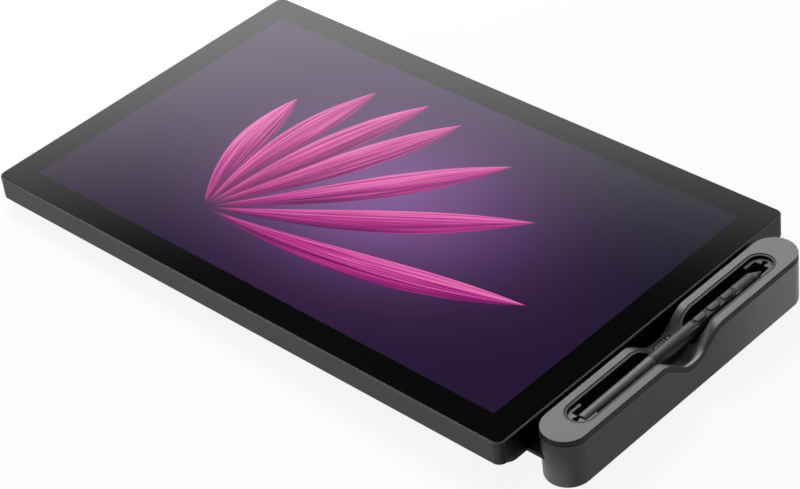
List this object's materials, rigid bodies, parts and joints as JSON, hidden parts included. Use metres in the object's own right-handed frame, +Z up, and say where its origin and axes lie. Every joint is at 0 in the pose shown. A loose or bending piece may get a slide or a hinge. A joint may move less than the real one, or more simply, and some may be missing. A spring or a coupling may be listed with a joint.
{
  "type": "graphics tablet with screen",
  "caption": "Flat pen display with a black glass front and a slide-on side tray whose saddle-dipped rim holds a stylus and spare nibs.",
  "frame": {"origin": "centre of the mount thread pattern on the flat back face of the tablet", "axes": "+X to the right along the screen's long side, towards the tray; +Y to the back edge; +Z up, out of the screen"},
  "size_m": [0.4525, 0.2524, 0.0345],
  "materials": {
    "screen_glass": "etched, black border print",
    "foam": "matt",
    "lcd": "semi-gloss",
    "diffuser": "satin",
    "circuit_board": "solder mask",
    "sheet_metal": "mill",
    "copper": "satin",
    "frame_metal": "satin, bare chamfer",
    "rear_plastic": "fine texture",
    "screw_black": "black oxide",
    "rubber": "matt",
    "steel": "zinc",
    "connector_shell": "nickel",
    "fan_plastic": "satin",
    "button_plastic": "satin",
    "tray_plastic": "satin",
    "tray_top": "satin",
    "liner": "matt",
    "cradle": "satin",
    "rack": "satin",
    "nib": "satin",
    "bracket_steel": "black powder coat",
    "pen_plastic": "soft satin",
    "pen_dark": "satin",
    "pen_switch": "satin"
  },
  "bodies": {
    "tablet": {"cover_glass": "screen_glass", "glass_gasket": "foam", "lcd_panel": "lcd", "backlight_unit": "diffuser", "sensor_board": "circuit_board", "shield_plate": "sheet_metal", "mid_frame": "frame_metal", "rear_cover": "rear_plastic", "rear_screws": "screw_black", "rubber_feet": "rubber", "vesa_plate": "steel", "main_board": "circuit_board", "hdmi_port": "connector_shell", "usb_ports": "connector_shell", "heat_sink": "sheet_metal", "heat_pipe": "copper", "fan_housing": "fan_plastic", "key_board_left": "circuit_board", "key_board_right": "circuit_board", "control_board": "circuit_board"},
    "fan": {"fan_rotor": "fan_plastic"},
    "tray": {"tray_body": "tray_plastic", "tray_cover": "tray_top", "tray_liner": "liner", "cradle_front": "cradle", "cradle_rear": "cradle", "nib_rack": "rack", "spare_nibs": "nib", "tray_base": "rear_plastic", "base_screws": "screw_black", "tray_feet": "rubber", "tray_bracket": "bracket_steel", "bracket_screws": "steel"},
    "pen": {"pen_tail_cap": "pen_plastic", "pen_rear_barrel": "pen_plastic", "pen_seam_ring": "pen_dark", "pen_front_barrel": "pen_plastic", "pen_switch_bezel": "pen_plastic", "pen_cone": "pen_plastic", "pen_core": "circuit_board"},
    "nib": {"pen_nib": "nib"},
    "switch_rear": {"pen_switch_rear": "pen_switch"},
    "switch_middle": {"pen_switch_middle": "pen_switch"},
    "switch_front": {"pen_switch_front": "pen_switch"},
    "power": {"power_button": "button_plastic"},
    "touch": {"touch_switch": "button_plastic"},
    "key_1": {"express_key_1": "button_plastic"},
    "key_2": {"express_key_2": "button_plastic"},
    "key_3": {"express_key_3": "button_plastic"},
    "key_4": {"express_key_4": "button_plastic"},
    "key_5": {"express_key_5": "button_plastic"},
    "key_6": {"express_key_6": "button_plastic"},
    "key_7": {"express_key_7": "button_plastic"},
    "key_8": {"express_key_8": "button_plastic"}
  },
  "joints": [
    {"name": "tray_pull", "type": "slide", "parent": "tablet", "child": "tray", "axis": [1, 0, 0], "range_m": [0, 0.04]},
    {"name": "pen_lift", "type": "slide", "parent": "tray", "child": "pen", "axis": [0, 0, 1], "range_m": [0, 0.06]},
    {"name": "nib_press", "type": "slide", "parent": "pen", "child": "nib", "axis": [0, -1, 0], "range_m": [0, 0.0005], "stiffness_N_per_m": 1500},
    {"name": "switch_rear_press", "type": "slide", "parent": "pen", "child": "switch_rear", "axis": [0, 0, -1], "range_m": [0, 0.0004], "stiffness_N_per_m": 1500},
    {"name": "switch_middle_press", "type": "slide", "parent": "pen", "child": "switch_middle", "axis": [0, 0, -1], "range_m": [0, 0.0004], "stiffness_N_per_m": 1500},
    {"name": "switch_front_press", "type": "slide", "parent": "pen", "child": "switch_front", "axis": [0, 0, -1], "range_m": [0, 0.0004], "stiffness_N_per_m": 1500},
    {"name": "key_1_press", "type": "slide", "parent": "tablet", "child": "key_1", "axis": [0, 0, 1], "range_m": [0, 0.0008], "stiffness_N_per_m": 1200},
    {"name": "key_2_press", "type": "slide", "parent": "tablet", "child": "key_2", "axis": [0, 0, 1], "range_m": [0, 0.0008], "stiffness_N_per_m": 1200},
    {"name": "key_3_press", "type": "slide", "parent": "tablet", "child": "key_3", "axis": [0, 0, 1], "range_m": [0, 0.0008], "stiffness_N_per_m": 1200},
    {"name": "key_4_press", "type": "slide", "parent": "tablet", "child": "key_4", "axis": [0, 0, 1], "range_m": [0, 0.0008], "stiffness_N_per_m": 1200},
    {"name": "key_5_press", "type": "slide", "parent": "tablet", "child": "key_5", "axis": [0, 0, 1], "range_m": [0, 0.0008], "stiffness_N_per_m": 1200},
    {"name": "key_6_press", "type": "slide", "parent": "tablet", "child": "key_6", "axis": [0, 0, 1], "range_m": [0, 0.0008], "stiffness_N_per_m": 1200},
    {"name": "key_7_press", "type": "slide", "parent": "tablet", "child": "key_7", "axis": [0, 0, 1], "range_m": [0, 0.0008], "stiffness_N_per_m": 1200},
    {"name": "key_8_press", "type": "slide", "parent": "tablet", "child": "key_8", "axis": [0, 0, 1], "range_m": [0, 0.0008], "stiffness_N_per_m": 1200},
    {"name": "power_press", "type": "slide", "parent": "tablet", "child": "power", "axis": [0, -1, 0], "range_m": [0, 0.0005], "stiffness_N_per_m": 1500},
    {"name": "touch_slide", "type": "slide", "parent": "tablet", "child": "touch", "axis": [1, 0, 0], "range_m": [0, 0.004]},
    {"name": "fan_spin", "type": "hinge", "parent": "tablet", "child": "fan", "pos_m": [-0.112, 0.034, 0.0065], "axis": [0, 0, 1], "continuous": true}
  ]
}
